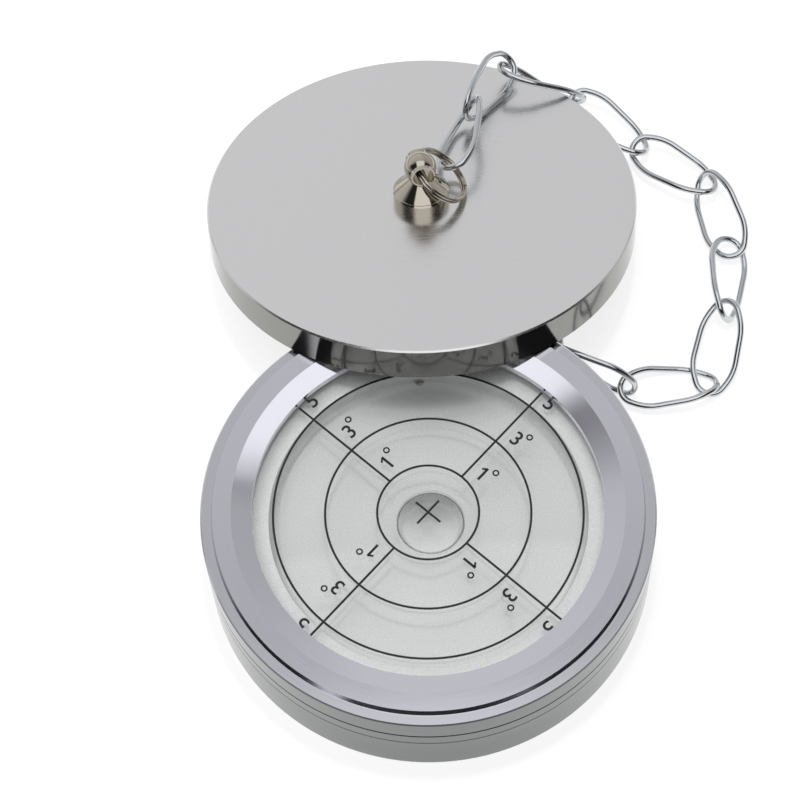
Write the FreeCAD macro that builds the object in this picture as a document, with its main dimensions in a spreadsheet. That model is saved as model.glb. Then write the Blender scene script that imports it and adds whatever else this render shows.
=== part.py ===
import FreeCAD, Part
import math
import os
import Sketcher

# Bullseye level with a chained cap: a round spirit vial in a turned housing, with its
# dust cap lying against it and a chain from the cap's stud to an eye on the housing.
# Millimetres, +Z up. The origin is the centre of the housing's base, and the dial is on the axis.

DRIVING_SIZES = [
    # alias, size, what it is
    ("housing_radius", 50.0, "outside of the housing"),
    ("lower_height", 14.3, "base to the joint between the two housing rings"),
    ("ledge_over_lip", 1.7, "bezel lip's underside to the flat ledge of the housing"),
    ("housing_wall", 9.0, "wall of both housing rings"),
    ("floor_thickness", 3.0, "floor of the lower ring"),
    ("foot_chamfer", 1.2, "chamfer round the foot"),
    ("edge_break", 0.3, "broken edges of the housing"),
    ("groove_rise", 4.35, "joint between the rings to the turned line round the upper one"),
    ("groove_half", 0.35, "half the width of the turned line"),
    ("groove_depth", 0.4, "depth of the turned line"),
    ("register_width", 1.0, "rim that centres the upper ring on the lower one"),
    ("register_height", 1.0, "height of that rim"),
    ("shelf_rise", 3.2, "joint between the rings to the shelf that carries the vial"),
    ("shelf_width", 2.3, "radial width of the shelf"),
    ("shelf_thickness", 1.4, "thickness of the shelf"),
    ("thread_wall", 3.9, "wall outside the bezel's skirt"),
    ("glass_grip", 2.1, "vial's flange to the floor of the bore for that skirt"),
    ("ledge_width", 2.4, "radial width of the ledge outside the bezel"),
    ("bezel_draft", 0.4, "how far the bezel's side leans in"),
    ("bezel_height", 1.6, "ledge to the bezel's flat top"),
    ("bezel_flat", 4.05, "radial width of the bezel's flat top"),
    ("bezel_slope", 4.35, "radial width of the slope inside that flat"),
    ("sight_edge_drop", 1.4, "fall of the bezel's chamfer to its opening"),
    ("skirt_width", 4.8, "radial width of the bezel's skirt"),
    ("fit_gap", 0.1, "gap between turned pieces that fit"),
    ("glass_clearance", 0.5, "dial glass to the housing's bore"),
    ("glass_thickness", 4.1, "dial glass at its rim"),
    ("glass_curve", 330.0, "radius of the hollow ground under the glass"),
    ("gasket_thickness", 0.4, "gasket between glass and bezel"),
    ("vial_clearance", 0.4, "vial bowl to the bore and to the shelf"),
    ("vial_wall", 3.0, "wall of the vial bowl"),
    ("vial_flange", 2.0, "thickness of that flange"),
    ("vial_floor", 2.5, "floor of the vial bowl"),
    ("vial_depth", 7.5, "flange top to the vial's floor"),
    ("vial_corner", 2.0, "rounding inside the vial"),
    ("seal_inset", 1.0, "edge of the vial's flange to the centre line of its seal"),
    ("seal_wire", 1.16, "thickness of the vial seal"),
    ("seal_gap", 0.02, "gap round the vial seal"),
    ("bubble_radius", 7.5, "bubble"),
    ("bubble_thickness", 3.2, "bubble from top to bottom"),
    ("bubble_corner", 1.44, "rounding of the bubble's rim"),
    ("bubble_x", 0.4, "how far the bubble floats toward +X"),
    ("bubble_y", -1.75, "how far the bubble floats toward +Y"),
    ("film_gap", 0.06, "gap that keeps spirit, bubble and vial apart"),
    ("ring_inset", 4.7, "bezel's opening to the outer ring on the dial"),
    ("ring_spacing", 11.45, "one ring on the dial to the next"),
    ("line_width", 0.5, "width of the dial's lines"),
    ("line_margin", 0.3, "outer end of the dial's straight lines to the bezel"),
    ("cross_length", 7.2, "strokes of the cross at the middle"),
    ("ink_thickness", 0.05, "print on the glass"),
    ("plug_rise", 1.8, "vial's floor to the middle of the filling plug"),
    ("plug_radius", 1.25, "shank of the filling plug"),
    ("plug_head_radius", 2.2, "head of the filling plug"),
    ("plug_head", 1.0, "thickness of that head"),
    ("plug_seal", 0.5, "thickness of the plug's seal"),
    ("plug_flat", 0.3, "depth of the flat under the plug's seal"),
    ("plug_slot_width", 0.8, "width of the slot in the plug's head"),
    ("plug_slot_depth", 0.5, "depth of that slot"),
    ("screw_inset", 4.5, "outside of the housing to the middle of a base screw"),
    ("screw_bearing", 30.0, "direction of the first base screw from the axis, in degrees"),
    ("screw_radius", 1.5, "shank of a base screw"),
    ("screw_grip", 5.0, "how far a base screw reaches into the upper ring"),
    ("screw_head_radius", 2.75, "head of a base screw"),
    ("screw_head", 3.0, "height of that head"),
    ("head_sink", 0.3, "how far the heads sit inside the base"),
    ("thread_gap", 0.05, "gap between a screw and its thread"),
    ("socket_radius", 1.44, "hexagon socket of a screw, corner to centre"),
    ("socket_depth", 1.6, "depth of that socket"),
    ("stud_socket_depth", 1.08, "depth of the socket in the cap's screw"),
    ("cut_past", 1.0, "how far a cut runs past the face that it leaves by"),
    ("cap_wall", 2.0, "wall of the cap"),
    ("cap_height", 8.08, "height of the cap"),
    ("cap_top", 2.0, "thickness of the cap's top"),
    ("cap_clearance", 0.3, "gap between the cap's bore and the bezel"),
    ("cap_edge", 0.35, "chamfer round the cap"),
    ("cap_overhang", 29.6, "outside of the housing to the middle of the cap's top, in plan"),
    ("cap_bearing", 87.6, "direction of the cap from the axis, in degrees from +X"),
    ("rest_gap", 0.05, "gap where the cap rests on the level and on the ground"),
    ("stud_flange_radius", 6.5, "flange of the stud on the cap"),
    ("stud_flange", 3.0, "thickness of that flange"),
    ("stud_rim", 0.35, "chamfer round the flange"),
    ("stud_cone_radius", 6.0, "foot of the stud's cone"),
    ("stud_neck_radius", 2.6, "neck of the stud"),
    ("stud_cone", 3.2, "height of that cone"),
    ("stud_ball_radius", 3.75, "ball of the stud"),
    ("stud_ball_rise", 3.3, "top of the cone to the centre of the ball"),
    ("stud_hole_radius", 2.4, "hole through the ball"),
    ("stud_lip", 0.4, "wall of the raised lip round that hole"),
    ("stud_lip_set", 0.4, "ball's own radius to the face of that lip"),
    ("stud_turn", 101.0, "direction of the hole, in degrees from the cap's own +X"),
    ("stud_thread_depth", 5.0, "depth of the thread in the stud's foot"),
    ("stud_screw_head", 1.8, "head of the screw inside the cap"),
    ("stud_screw_grip", 3.9, "how far that screw reaches into the stud"),
    ("washer_radius", 4.5, "washer inside the cap"),
    ("washer_thickness", 0.6, "thickness of that washer"),
    ("ring_radius", 7.2, "middle of the split ring's wire to its centre"),
    ("ring_wire_radius", 0.46, "wire of the split ring"),
    ("ring_turn_pitch", 0.8, "one turn of the split ring to the next"),
    ("ring_hole_x", -1.1, "where the ring passes the stud's hole, toward the cap's own +X"),
    ("ring_hole_rise", 0.5, "how far over the ball's centre it passes"),
    ("ring_clock", 60.0, "where the first link hangs in the split ring, in degrees"),
    ("ring_hook_inset", 1.3, "that place, in from the ring's wire"),
    ("ring_hook_side", 0.85, "that place, beside the ring's own plane"),
    ("ring_forward", 1.7, "how far the split ring stands toward the cap's own +Y"),
    ("ring_notch", 0.5, "width of the notch at the split ring's wire ends"),
    ("link_wire", 1.5, "wire of the chain"),
    ("link_length", 22.5, "link, along the middle of its wire"),
    ("link_width", 10.0, "link, across the middle of its wire"),
    ("link_twist", -47.0, "twist of a link from end to end, in degrees"),
    ("link_gap", 0.2, "gap between two links that pull on each other"),
    ("eye_radius", 2.9, "eye on the housing, to the middle of its wire"),
    ("eye_bearing", 57.0, "direction of the eye from the level's axis, in degrees"),
    ("eye_height", 9.1, "height of the eye on the housing"),
    ("eye_neck", 1.9, "collar to the middle of the eye's wire"),
    ("eye_shank", 1.5, "radius of the eye's threaded shank"),
    ("eye_thread", 5.0, "length of that thread in the housing"),
    ("eye_collar", 3.0, "radius of the collar against the housing"),
    ("eye_collar_thickness", 1.2, "thickness of that collar"),
]

DERIVED_SIZES = [
    ("housing_bore", "=housing_radius - housing_wall"),
    ("shelf_bore", "=housing_bore - shelf_width"),
    ("bezel_bore", "=housing_radius - thread_wall"),
    ("bezel_radius", "=housing_radius - ledge_width"),
    ("bezel_top_radius", "=bezel_radius - bezel_draft"),
    ("bezel_flat_inner", "=bezel_top_radius - bezel_flat"),
    ("sight_radius", "=bezel_flat_inner - bezel_slope"),
    ("glass_radius", "=housing_bore - glass_clearance"),
    ("vial_flange_radius", "=housing_bore - vial_clearance"),
    ("vial_outer", "=shelf_bore - vial_clearance"),
    ("vial_bore", "=vial_outer - vial_wall"),
    ("seal_radius", "=vial_flange_radius - seal_inset"),
    ("ring_five", "=sight_radius - ring_inset"),
    ("ring_three", "=ring_five - ring_spacing"),
    ("ring_one", "=ring_three - ring_spacing"),
    ("line_end", "=sight_radius - line_margin"),
    ("screw_circle", "=housing_radius - screw_inset"),
    ("cap_bore", "=bezel_radius + cap_clearance"),
    ("cap_radius", "=cap_bore + cap_wall"),
    ("cap_reach", "=housing_radius + cap_overhang"),
    ("shelf_height", "=lower_height + shelf_rise"),
    ("shelf_bottom", "=shelf_height - shelf_thickness"),
    ("seat_height", "=shelf_height + vial_flange"),
    ("glass_top", "=seat_height + glass_thickness"),
    ("lip_height", "=glass_top + gasket_thickness"),
    ("ledge_height", "=lip_height + ledge_over_lip"),
    ("bezel_top", "=ledge_height + bezel_height"),
    ("bezel_bore_floor", "=seat_height + glass_grip"),
    ("groove_height", "=lower_height + groove_rise"),
    ("groove_bottom_radius", "=housing_radius - groove_depth"),
    ("housing_break_radius", "=housing_radius - edge_break"),
    ("foot_radius", "=housing_radius - foot_chamfer"),
    ("lower_break_height", "=lower_height - edge_break"),
    ("upper_break_height", "=lower_height + edge_break"),
    ("ledge_break_height", "=ledge_height - edge_break"),
    ("groove_low", "=groove_height - groove_half"),
    ("groove_high", "=groove_height + groove_half"),
    ("register_radius", "=housing_bore + register_width"),
    ("register_top", "=lower_height + register_height"),
    ("recess_radius", "=register_radius + fit_gap"),
    ("sight_edge_height", "=bezel_top - sight_edge_drop"),
    ("skirt_radius", "=bezel_bore - fit_gap"),
    ("skirt_inner", "=skirt_radius - skirt_width"),
    ("skirt_bottom", "=bezel_bore_floor + 2 * fit_gap"),
    ("gasket_inner", "=sight_radius + 2 * fit_gap"),
    ("gasket_outer", "=glass_radius - fit_gap"),
    ("glass_hollow", "=glass_curve - sqrt(glass_curve^2 - vial_bore^2)"),
    ("glass_apex", "=seat_height + glass_hollow"),
    ("vial_floor_height", "=seat_height - vial_depth"),
    ("vial_bottom", "=vial_floor_height - vial_floor"),
    ("seal_groove_radius", "=seal_wire / 2 + seal_gap"),
    ("seal_groove_inner", "=seal_radius - seal_groove_radius"),
    ("seal_groove_outer", "=seal_radius + seal_groove_radius"),
    ("seal_groove_bottom", "=seat_height - 2 * seal_groove_radius"),
    ("spirit_radius", "=vial_bore - film_gap"),
    ("spirit_bottom", "=vial_floor_height + film_gap"),
    ("spirit_edge", "=seat_height - film_gap"),
    ("spirit_apex", "=glass_apex - film_gap"),
    ("spirit_corner", "=vial_corner - film_gap"),
    ("bubble_top", "=spirit_apex - film_gap"),
    ("bubble_bottom", "=bubble_top - bubble_thickness"),
    ("hollow_radius", "=bubble_radius + film_gap"),
    ("hollow_bottom", "=bubble_bottom - film_gap"),
    ("hollow_corner", "=bubble_corner + film_gap"),
    ("plug_height", "=vial_floor_height + plug_rise"),
    ("plug_seat", "=vial_outer - plug_flat"),
    ("plug_bore", "=plug_radius + thread_gap"),
    ("plug_head_seat", "=plug_seat + plug_seal"),
    ("head_pocket", "=screw_head + head_sink"),
    ("head_pocket_radius", "=screw_head_radius + 2 * fit_gap"),
    ("screw_way", "=screw_radius + 2 * fit_gap"),
    ("screw_thread", "=screw_radius + thread_gap"),
    ("screw_end", "=lower_height + screw_grip"),
    ("screw_length", "=screw_end - head_pocket"),
    ("cap_inner_top", "=-cap_top"),
    ("cap_mouth", "=-cap_height"),
    ("cap_edge_height", "=-cap_edge"),
    ("cap_edge_radius", "=cap_radius - cap_edge"),
    ("stud_bore", "=screw_radius + thread_gap"),
    ("stud_neck_height", "=stud_flange + stud_cone"),
    ("stud_ball_height", "=stud_neck_height + stud_ball_rise"),
    ("stud_lip_reach", "=stud_ball_radius - stud_lip_set"),
    ("stud_screw_length", "=washer_thickness + cap_top + stud_screw_grip"),
    ("stud_top", "=stud_ball_height + stud_ball_radius"),
    ("stud_ball_foot", "=stud_ball_height - sqrt(stud_ball_radius^2 - stud_neck_radius^2)"),
    ("stud_flange_edge", "=stud_flange - stud_rim"),
    ("stud_rim_radius", "=stud_flange_radius - stud_rim"),
    ("washer_bottom", "=-cap_top - washer_thickness"),
    ("stud_screw_bottom", "=washer_bottom - stud_screw_head"),
    ("eye_wire_radius", "=link_wire / 2"),
    ("eye_centre", "=housing_radius + eye_collar_thickness + eye_neck + eye_radius"),
]

# Where the chain lies, from the split ring to the eye. Each row is a place where one link hangs
# in the next: the piece that it lies beside, its direction from that piece's axis in degrees, how
# far it lies outside that piece's wall, the height of the link that arrives and the height of the
# link that leaves. The first heights are measured from the cap's top, the others from the ground.
CHAIN_ROUTE = [
    ("cap", 62.5, -20.0, 6.2, 6.1),
    ("cap", 60.9, -5.2, 5.7, 5.5),
    ("cap", 40.2, 2.6, 7.1, 6.7),
    ("cap", 21.1, 7.5, 4.6, 4.8),
    ("cap", 7.2, 20.0, 4.4, 4.1),
    ("cap", -5.1, 23.1, 3.1, 2.9),
    ("cap", -20.5, 24.1, 5.2, 6.6),
    ("housing", 28.6, 27.2, 1.7, 2.5),
    ("housing", 36.7, 10.6, 3.2, 4.0),
]
PLACES_ON_CAP = 2
# Each link's roll about its own length in degrees, and how much less than its full length it reaches.
CHAIN_LINKS = [
    (135.5, 0.6), (57.5, 5.2), (-56.5, 0.2), (-12.5, 1.9), (-4.5, 1.0),
    (31.5, 5.2), (-41.5, 0.9), (-168.5, 2.8), (9.5, 1.6), (83.5, 1.5),
]
PATH_POINTS = 8
END_BLUNTNESS = 2.6
SIDE_BLUNTNESS = 2.2
# Share of each run that an arc may take at one end of it.
ARC_SHARE = 0.49
BASE_SCREWS = 3
# Two edges nearer than this are the same edge.
SAME_PLACE = 1e-4
# The search for the cap's rest: places tried round its mouth, tilts in degrees, and halvings.
RIM_STEPS = 720
TILT_RANGE = (5, 40)
HALVINGS = 40
CHAIN_SWEEPS = 400
# Part of a link's volume that its sweep may be off by.
VOLUME_ERROR = 0.01

doc = FreeCAD.newDocument("BullseyeLevel")
sheet = doc.addObject("Spreadsheet::Sheet", "Sizes")
for row, (alias, number, note) in enumerate(DRIVING_SIZES, start=1):
    sheet.set("A%d" % row, str(number))
    sheet.setAlias("A%d" % row, alias)
    sheet.set("B%d" % row, note)
for row, (alias, formula) in enumerate(DERIVED_SIZES, start=1):
    sheet.set("D%d" % row, formula)
    sheet.setAlias("D%d" % row, alias)
doc.recompute()

parts = []


def size(alias):
    """The number behind a name in the sheet."""
    if alias == 0:
        return 0.0
    value = getattr(sheet, alias)
    return float(getattr(value, "Value", value))


def bind(item, path, formula):
    """Tie one property of an object to the sheet."""
    item.setExpression(path, formula.replace("$", "Sizes."))


def keep(item, name):
    """Name a finished sub-part and list it for export."""
    item.Label = name
    parts.append(item)
    return item


def new_body(name):
    body = doc.addObject("PartDesign::Body", name + "_body")
    return keep(body, name)


def origin_plane(body, role):
    for item in body.Origin.OriginFeatures:
        if item.Role == role:
            return item
    raise ValueError("no plane " + role)


def new_sketch(body, name, role):
    sketch = body.newObject("Sketcher::SketchObject", name)
    sketch.AttachmentSupport = [(origin_plane(body, role), "")]
    sketch.MapMode = "FlatFace"
    return sketch


def pin(sketch, line, end, kind, alias):
    """Hold one end of a line at a distance from the axis or the base, tied to the sheet."""
    if alias == 0:
        axis = -2 if kind == "DistanceX" else -1
        sketch.addConstraint(Sketcher.Constraint("PointOnObject", line, end, axis))
        return
    place = size(alias)
    if place < 0:
        index = sketch.addConstraint(Sketcher.Constraint(kind, line, end, -1, 1, -place))
        bind(sketch, "Constraints[%d]" % index, "-$" + alias)
        return
    index = sketch.addConstraint(Sketcher.Constraint(kind, -1, 1, line, end, place))
    bind(sketch, "Constraints[%d]" % index, "$" + alias)


def draw_section(sketch, corners, domes=()):
    """Draw a closed section from (radius, height) pairs. A line listed in domes is an arc
    about the axis that leaves it at the top, and it runs outward."""
    places = [FreeCAD.Vector(size(radius), size(height), 0) for radius, height in corners]
    count = len(places)
    first_end = [1] * count
    second_end = [2] * count
    for index, start in enumerate(places):
        finish = places[(index + 1) % count]
        if index in domes:
            drop = start.y - finish.y
            curve = (finish.x ** 2 + drop ** 2) / (2 * drop)
            centre = FreeCAD.Vector(0, start.y - curve, 0)
            circle = Part.Circle(centre, FreeCAD.Vector(0, 0, 1), curve)
            low = math.atan2(finish.y - centre.y, finish.x)
            sketch.addGeometry(Part.ArcOfCircle(circle, low, math.pi / 2))
            sketch.addConstraint(Sketcher.Constraint("PointOnObject", index, 3, -2))
            first_end[index] = 2
            second_end[index] = 1
        else:
            sketch.addGeometry(Part.LineSegment(start, finish))
    for index in range(count):
        after = (index + 1) % count
        joint = Sketcher.Constraint("Coincident", index, second_end[index], after, first_end[after])
        sketch.addConstraint(joint)
    for index, (radius, height) in enumerate(corners):
        pin(sketch, index, first_end[index], "DistanceX", radius)
        pin(sketch, index, first_end[index], "DistanceY", height)


def turn_section(body, name, corners, domes=()):
    """Turn a section about the piece's own axis."""
    sketch = new_sketch(body, name + "_section", "XZ_Plane")
    draw_section(sketch, corners, domes)
    turned = body.newObject("PartDesign::Revolution", name + "_turn")
    turned.Profile = sketch
    turned.ReferenceAxis = (sketch, ["V_Axis"])
    turned.Angle = 360
    return turned


def ring_edges(shape, radius, height):
    """Names of the circular edges with this radius at this height."""
    names = []
    for index, edge in enumerate(shape.Edges, start=1):
        if edge.Degenerated:
            continue
        curve = edge.Curve
        if not isinstance(curve, Part.Circle):
            continue
        if max(abs(curve.Radius - radius), abs(curve.Center.z - height)) < SAME_PLACE:
            names.append("Edge%d" % index)
    return names


def round_edge(body, name, base, radius_alias, height_alias, rounding):
    """Round the edge at a radius and a height."""
    doc.recompute()
    edges = ring_edges(base.Shape, size(radius_alias), size(height_alias))
    rounded = body.newObject("PartDesign::Fillet", name)
    rounded.Base = (base, edges)
    bind(rounded, "Radius", "$" + rounding)
    return rounded


def new_cylinder(name, radius, height, x="0", y="0", z="0"):
    """A cylinder whose size and place are formulas of the sheet."""
    item = doc.addObject("Part::Cylinder", name)
    bind(item, "Radius", radius)
    bind(item, "Height", height)
    bind(item, "Placement.Base.x", x)
    bind(item, "Placement.Base.y", y)
    bind(item, "Placement.Base.z", z)
    return item


def cut(name, base, tool):
    item = doc.addObject("Part::Cut", name)
    item.Base = base
    item.Tool = tool
    return item


def fuse(name, pieces):
    item = doc.addObject("Part::MultiFuse", name)
    item.Shapes = pieces
    return item


def cylinder_tool(body, name, kind, radius, height, place, turn):
    """A cylinder added to or cut from a body, standing at a place and turned to a direction."""
    tool = body.newObject(kind, name)
    tool.AttachmentSupport = [(origin_plane(body, "XY_Plane"), "")]
    tool.MapMode = "FlatFace"
    tool.AttachmentOffset = FreeCAD.Placement(FreeCAD.Vector(0, 0, 0), turn)
    bind(tool, "Radius", radius)
    bind(tool, "Height", height)
    for letter, formula in zip("xyz", place):
        bind(tool, "AttachmentOffset.Base." + letter, formula)
    return tool


def screw_places():
    """Formulas for the plan place of each base screw."""
    places = []
    for number in range(BASE_SCREWS):
        angle = "$screw_bearing + %s" % (360.0 * number / BASE_SCREWS)
        places.append(("$screw_circle * cos(%s)" % angle, "$screw_circle * sin(%s)" % angle))
    return places


# The housing's two rings

def build_lower_housing():
    body = new_body("lower_housing")
    turn_section(body, "cup", [
        (0, 0), ("foot_radius", 0), ("housing_radius", "foot_chamfer"),
        ("housing_radius", "lower_break_height"), ("housing_break_radius", "lower_height"),
        ("register_radius", "lower_height"), ("register_radius", "register_top"),
        ("housing_bore", "register_top"), ("housing_bore", "floor_thickness"),
        (0, "floor_thickness"),
    ])
    upright = FreeCAD.Rotation()
    for number, (x, y) in enumerate(screw_places()):
        cylinder_tool(body, "screw_head_%d" % number, "PartDesign::SubtractiveCylinder",
                      "$head_pocket_radius", "$head_pocket", (x, y, "0"), upright)
        cylinder_tool(body, "screw_way_%d" % number, "PartDesign::SubtractiveCylinder",
                      "$screw_way", "$lower_height + $cut_past", (x, y, "0"), upright)
    eye_x = "$housing_radius * cos($eye_bearing)"
    eye_y = "$housing_radius * sin($eye_bearing)"
    inward = FreeCAD.Rotation(FreeCAD.Vector(0, 0, 1), radial(size("eye_bearing")) * -1)
    cylinder_tool(body, "eye_bore", "PartDesign::SubtractiveCylinder",
                  "$eye_shank + $thread_gap", "$eye_thread + $fit_gap",
                  (eye_x, eye_y, "$eye_height"), inward)


def build_upper_housing():
    body = new_body("upper_housing")
    turn_section(body, "ring", [
        ("recess_radius", "lower_height"), ("housing_break_radius", "lower_height"),
        ("housing_radius", "upper_break_height"), ("housing_radius", "groove_low"),
        ("groove_bottom_radius", "groove_height"), ("housing_radius", "groove_high"),
        ("housing_radius", "ledge_break_height"), ("housing_break_radius", "ledge_height"),
        ("bezel_bore", "ledge_height"), ("bezel_bore", "bezel_bore_floor"),
        ("housing_bore", "bezel_bore_floor"), ("housing_bore", "shelf_height"),
        ("shelf_bore", "shelf_height"), ("shelf_bore", "shelf_bottom"),
        ("recess_radius", "shelf_bottom"),
    ])
    for number, (x, y) in enumerate(screw_places()):
        cylinder_tool(body, "screw_thread_%d" % number, "PartDesign::SubtractiveCylinder",
                      "$screw_thread", "$screw_end + $fit_gap - $lower_height",
                      (x, y, "$lower_height"), FreeCAD.Rotation())


def build_bezel_ring():
    body = new_body("bezel_ring")
    turn_section(body, "bezel", [
        ("sight_radius", "lip_height"), ("skirt_inner", "lip_height"),
        ("skirt_inner", "skirt_bottom"), ("skirt_radius", "skirt_bottom"),
        ("skirt_radius", "ledge_height"), ("bezel_radius", "ledge_height"),
        ("bezel_top_radius", "bezel_top"), ("bezel_flat_inner", "bezel_top"),
        ("sight_radius", "sight_edge_height"),
    ])


# The vial, from the glass down

def build_dial_glass():
    body = new_body("dial_glass")
    turn_section(body, "glass", [
        (0, "glass_apex"), ("vial_bore", "seat_height"), ("glass_radius", "seat_height"),
        ("glass_radius", "glass_top"), (0, "glass_top"),
    ], domes=(0,))


def build_glass_gasket():
    body = new_body("glass_gasket")
    turn_section(body, "gasket", [
        ("gasket_inner", "glass_top"), ("gasket_outer", "glass_top"),
        ("gasket_outer", "lip_height"), ("gasket_inner", "lip_height"),
    ])


def build_vial_bowl():
    body = new_body("vial_bowl")
    bowl = turn_section(body, "bowl", [
        (0, "vial_bottom"), ("vial_outer", "vial_bottom"), ("vial_outer", "shelf_height"),
        ("vial_flange_radius", "shelf_height"), ("vial_flange_radius", "seat_height"),
        ("seal_groove_outer", "seat_height"), ("seal_groove_outer", "seal_groove_bottom"),
        ("seal_groove_inner", "seal_groove_bottom"), ("seal_groove_inner", "seat_height"),
        ("vial_bore", "seat_height"), ("vial_bore", "vial_floor_height"), (0, "vial_floor_height"),
    ])
    round_edge(body, "bowl_corner", bowl, "vial_bore", "vial_floor_height", "vial_corner")
    outward = FreeCAD.Rotation(FreeCAD.Vector(0, 0, 1), FreeCAD.Vector(0, 1, 0))
    cylinder_tool(body, "plug_flat", "PartDesign::SubtractiveCylinder",
                  "$plug_head_radius + 2 * $fit_gap", "$plug_flat + $cut_past",
                  ("0", "$plug_seat", "$plug_height"), outward)
    cylinder_tool(body, "plug_bore", "PartDesign::SubtractiveCylinder",
                  "$plug_bore", "$vial_wall + 2 * $cut_past",
                  ("0", "$vial_bore - $cut_past", "$plug_height"), outward)


def build_bowl_seal():
    seal = doc.addObject("Part::Torus", "bowl_seal_ring")
    bind(seal, "Radius1", "$seal_radius")
    bind(seal, "Radius2", "$seal_wire / 2")
    bind(seal, "Placement.Base.z", "$seat_height - $seal_groove_radius")
    keep(seal, "bowl_seal")


def build_bubble():
    body = new_body("bubble")
    base = turn_section(body, "bubble", [
        (0, "bubble_bottom"), ("bubble_radius", "bubble_bottom"),
        ("bubble_radius", "bubble_top"), (0, "bubble_top"),
    ])
    lower = round_edge(body, "bubble_lower", base, "bubble_radius", "bubble_bottom", "bubble_corner")
    round_edge(body, "bubble_upper", lower, "bubble_radius", "bubble_top", "bubble_corner")
    bind(body, "Placement.Base.x", "$bubble_x")
    bind(body, "Placement.Base.y", "$bubble_y")


def build_spirit_fill():
    """The spirit fills the vial, with a hollow where the bubble floats."""
    body = doc.addObject("PartDesign::Body", "spirit_body")
    fill = turn_section(body, "spirit", [
        (0, "spirit_apex"), ("spirit_radius", "spirit_edge"), ("spirit_radius", "spirit_bottom"),
        (0, "spirit_bottom"),
    ], domes=(0,))
    round_edge(body, "spirit_corner_round", fill, "spirit_radius", "spirit_bottom", "spirit_corner")
    hollow = doc.addObject("PartDesign::Body", "hollow_body")
    base = turn_section(hollow, "hollow", [
        (0, "hollow_bottom"), ("hollow_radius", "hollow_bottom"),
        ("hollow_radius", "glass_top"), (0, "glass_top"),
    ])
    round_edge(hollow, "hollow_lower", base, "hollow_radius", "hollow_bottom", "hollow_corner")
    bind(hollow, "Placement.Base.x", "$bubble_x")
    bind(hollow, "Placement.Base.y", "$bubble_y")
    keep(cut("spirit_with_hollow", body, hollow), "spirit_fill")


def build_dial_print():
    """Three rings, four straight lines that cross them, and the cross at the middle."""
    marks = []
    for number, ring in enumerate(("ring_one", "ring_three", "ring_five")):
        outer = new_cylinder("mark_outer_%d" % number, "$%s + $line_width / 2" % ring,
                             "$ink_thickness", z="$glass_top")
        inner = new_cylinder("mark_inner_%d" % number, "$%s - $line_width / 2" % ring,
                             "$ink_thickness", z="$glass_top")
        marks.append(cut("mark_ring_%d" % number, outer, inner))
    for number in range(4):
        spoke = doc.addObject("Part::Box", "mark_line_%d" % number)
        turn_mark(spoke, 45 + 90 * number, "$ring_one", "$line_end - $ring_one")
        marks.append(spoke)
    for number in range(4):
        stroke = doc.addObject("Part::Box", "cross_stroke_%d" % number)
        turn_mark(stroke, 45 + 90 * number, "-$line_width / 2", "($cross_length + $line_width) / 2")
        marks.append(stroke)
    keep(fuse("print_marks", marks), "dial_print")


def turn_mark(bar, angle, start, length):
    """Lay a printed bar along a direction of the dial."""
    bind(bar, "Length", length)
    bind(bar, "Width", "$line_width")
    bind(bar, "Height", "$ink_thickness")
    bar.Placement = FreeCAD.Placement(FreeCAD.Vector(), FreeCAD.Rotation(FreeCAD.Vector(0, 0, 1), angle))
    bind(bar, "Placement.Base.x", "(%s) * cos(%s) + $line_width / 2 * sin(%s)" % (start, angle, angle))
    bind(bar, "Placement.Base.y", "(%s) * sin(%s) - $line_width / 2 * cos(%s)" % (start, angle, angle))
    bind(bar, "Placement.Base.z", "$glass_top")


def build_fill_plug():
    body = new_body("fill_plug")
    outward = FreeCAD.Rotation(FreeCAD.Vector(0, 0, 1), FreeCAD.Vector(0, 1, 0))
    cylinder_tool(body, "plug_shank", "PartDesign::AdditiveCylinder", "$plug_radius",
                  "$plug_head_seat - $vial_bore", ("0", "$vial_bore", "$plug_height"), outward)
    cylinder_tool(body, "plug_head_disc", "PartDesign::AdditiveCylinder", "$plug_head_radius",
                  "$plug_head", ("0", "$plug_head_seat", "$plug_height"), outward)
    slot = body.newObject("PartDesign::SubtractiveBox", "plug_slot")
    slot.AttachmentSupport = [(origin_plane(body, "XY_Plane"), "")]
    slot.MapMode = "FlatFace"
    bind(slot, "Length", "2 * $plug_head_radius")
    bind(slot, "Width", "$plug_slot_depth + $cut_past")
    bind(slot, "Height", "$plug_slot_width")
    bind(slot, "AttachmentOffset.Base.x", "-$plug_head_radius")
    bind(slot, "AttachmentOffset.Base.y", "$plug_head_seat + $plug_head - $plug_slot_depth")
    bind(slot, "AttachmentOffset.Base.z", "$plug_height - $plug_slot_width / 2")


def build_fill_plug_seal():
    body = new_body("fill_plug_seal")
    outward = FreeCAD.Rotation(FreeCAD.Vector(0, 0, 1), FreeCAD.Vector(0, 1, 0))
    place = ("0", "$plug_seat", "$plug_height")
    cylinder_tool(body, "seal_disc", "PartDesign::AdditiveCylinder", "$plug_head_radius",
                  "$plug_seal", place, outward)
    cylinder_tool(body, "seal_hole", "PartDesign::SubtractiveCylinder", "$plug_bore",
                  "$plug_seal", place, outward)


def build_socket_screw(name, length, head, socket_depth, base):
    """A socket screw that points up, with its head's underside at the base's height."""
    x, y, z = base
    rod = new_cylinder(name + "_rod", "$screw_radius", "%s + %s" % (length, head), x, y, z)
    top = new_cylinder(name + "_head", "$screw_head_radius", head, x, y, z)
    socket = doc.addObject("Part::Prism", name + "_socket")
    socket.Polygon = 6
    bind(socket, "Circumradius", "$socket_radius")
    bind(socket, "Height", socket_depth)
    for letter, formula in zip("xyz", base):
        bind(socket, "Placement.Base." + letter, formula)
    return cut(name + "_solid", fuse(name + "_stack", [rod, top]), socket)


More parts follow.
